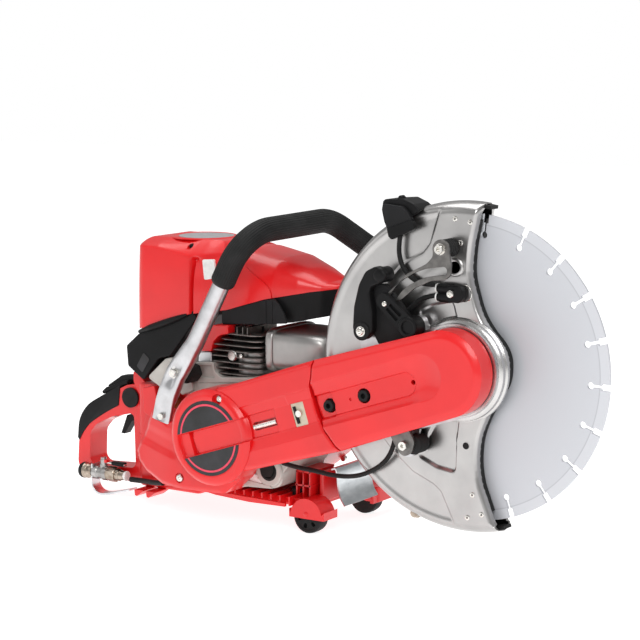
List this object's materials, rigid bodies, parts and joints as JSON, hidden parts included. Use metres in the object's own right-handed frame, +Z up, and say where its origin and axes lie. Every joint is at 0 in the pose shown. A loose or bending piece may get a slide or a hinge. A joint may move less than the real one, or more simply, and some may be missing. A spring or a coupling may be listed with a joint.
{
  "type": "rescue saw",
  "caption": "Petrol cut-off saw for rescue work: belt arm, abrasive disc in a tilting metal guard, looped front handle, rear handle and small wheels.",
  "frame": {"origin": "centre of the footprint box, on the floor that the wheels stand on", "axes": "+X forward towards the blade, +Y to the operator's left, +Z up"},
  "size_m": [0.7894, 0.265, 0.42],
  "materials": {
    "red_plastic": "gloss red moulding",
    "black_plastic": "satin black moulding",
    "rubber": "matt black rubber",
    "cast_light": "painted light casting",
    "bare_aluminium": "satin bare aluminium",
    "guard_metal": "brushed pressing",
    "blade_steel": "pale satin steel",
    "steel": "machined steel",
    "muffler_steel": "satin pressed sheet",
    "plated_steel": "zinc plated sheet",
    "amber": "clear amber moulding",
    "filter_paper": "pleated filter medium"
  },
  "bodies": {
    "root": {"base_frame": "red_plastic", "rear_handle": "red_plastic", "rear_belt_cover": "red_plastic", "front_belt_cover": "red_plastic", "filter_cover": "red_plastic", "engine_cover": "red_plastic", "starter_cover": "red_plastic", "intake_box": "black_plastic", "cylinder_shroud": "black_plastic", "guard_clamp": "black_plastic", "rear_handle_grip": "rubber", "front_handle_grip": "rubber", "anti_vibration_mounts": "rubber", "drive_belt": "rubber", "inlet_hose": "rubber", "arm_hose": "rubber", "crankcase_right": "cast_light", "crankcase_left": "cast_light", "arm_casting": "bare_aluminium", "front_handle_tube": "bare_aluminium", "flywheel": "bare_aluminium", "cylinder": "bare_aluminium", "carburettor": "bare_aluminium", "ball_bearings": "steel", "clutch_shoes": "steel", "crankshaft": "steel", "connecting_rod": "steel", "piston": "steel", "spark_plug": "steel", "fasteners": "steel", "water_valve": "steel", "muffler": "muffler_steel", "skid_plate": "plated_steel", "valve_bracket": "plated_steel", "air_filter": "filter_paper"},
    "blade_group": {"blade": "blade_steel", "blade_flanges": "bare_aluminium", "spindle": "steel", "arbor_bolt": "steel", "driven_pulley": "steel"},
    "clutch_drum_group": {"clutch_drum": "steel"},
    "guard": {"guard_near_shell": "guard_metal", "guard_far_shell": "guard_metal", "guard_liner": "rubber", "guard_handle": "black_plastic", "guard_link": "steel", "water_manifold": "black_plastic", "guard_hoses": "rubber"},
    "guard_lever_body": {"guard_lever": "black_plastic"},
    "trigger": {"throttle_trigger": "black_plastic"},
    "lockout": {"throttle_lockout": "black_plastic"},
    "switch": {"stop_switch": "black_plastic"},
    "tank_cap": {"fuel_cap": "black_plastic"},
    "bulb": {"primer_bulb": "amber"},
    "start_valve": {"decompression_valve": "steel"},
    "water_tap": {"valve_lever": "black_plastic"},
    "pull_grip": {"starter_handle": "black_plastic"},
    "rope_pulley": {"starter_pulley": "black_plastic"},
    "near_wheel_body": {"near_wheel": "rubber"},
    "far_wheel_body": {"far_wheel": "rubber"}
  },
  "joints": [
    {"name": "blade_spin", "type": "hinge", "parent": "root", "child": "blade_group", "pos_m": [0.21725, -0.0605, 0.22501], "axis": [0, 1, 0], "continuous": true},
    {"name": "clutch_drum_spin", "type": "hinge", "parent": "root", "child": "clutch_drum_group", "pos_m": [-0.10275, -0.0605, 0.119], "axis": [0, 1, 0], "continuous": true},
    {"name": "guard_tilt", "type": "hinge", "parent": "root", "child": "guard", "pos_m": [0.21725, -0.0605, 0.22501], "axis": [0, 1, 0], "range_deg": [-12, 40]},
    {"name": "guard_lever_hinge", "type": "hinge", "parent": "root", "child": "guard_lever_body", "pos_m": [0.09925, -0.1065, 0.26501], "axis": [0, 1, 0], "range_deg": [-25, 0]},
    {"name": "throttle_trigger_hinge", "type": "hinge", "parent": "root", "child": "trigger", "pos_m": [-0.30575, -0.0145, 0.107], "axis": [0, 1, 0], "range_deg": [0, 10], "stiffness_Nm_per_rad": 0.4, "springref_deg": -11.46},
    {"name": "throttle_lockout_hinge", "type": "hinge", "parent": "root", "child": "lockout", "pos_m": [-0.30575, -0.0145, 0.157], "axis": [0, -1, 0], "range_deg": [0, 4], "stiffness_Nm_per_rad": 0.6, "springref_deg": -11.46},
    {"name": "stop_switch_slide", "type": "slide", "parent": "root", "child": "switch", "axis": [1, 0, 0], "range_m": [0, 0.005]},
    {"name": "fuel_cap_turn", "type": "hinge", "parent": "root", "child": "tank_cap", "pos_m": [-0.24275, 0.0635, 0.109], "axis": [0, 1, 0], "range_deg": [0, 270]},
    {"name": "primer_bulb_press", "type": "slide", "parent": "root", "child": "bulb", "axis": [0, 1, 0], "range_m": [0, 0.004], "stiffness_N_per_m": 400, "springref_m": -0.002},
    {"name": "decompression_valve_press", "type": "slide", "parent": "root", "child": "start_valve", "axis": [0, 1, 0], "range_m": [0, 0.003], "stiffness_N_per_m": 600, "springref_m": -0.001},
    {"name": "water_valve_turn", "type": "hinge", "parent": "root", "child": "water_tap", "pos_m": [-0.33975, -0.0465, 0.045], "axis": [0, 0, -1], "range_deg": [0, 90]},
    {"name": "starter_handle_pull", "type": "slide", "parent": "root", "child": "pull_grip", "axis": [0, 0, 1], "range_m": [0, 0.5], "stiffness_N_per_m": 4, "springref_m": -0.4},
    {"name": "starter_pulley_spin", "type": "hinge", "parent": "root", "child": "rope_pulley", "pos_m": [-0.10275, 0.0665, 0.119], "axis": [0, -1, 0], "range_deg": [0, 720]},
    {"name": "near_wheel_spin", "type": "hinge", "parent": "root", "child": "near_wheel_body", "pos_m": [-0.00375, -0.057, 0.0205], "axis": [0, 1, 0], "continuous": true},
    {"name": "far_wheel_spin", "type": "hinge", "parent": "root", "child": "far_wheel_body", "pos_m": [-0.00375, 0.069, 0.0205], "axis": [0, 1, 0], "continuous": true}
  ],
  "couplings": [
    {"joint": "clutch_drum_spin", "follows": "blade_spin", "ratio": 1.6667},
    {"joint": "starter_pulley_spin", "follows": "starter_handle_pull", "rad_per_m": 24}
  ]
}
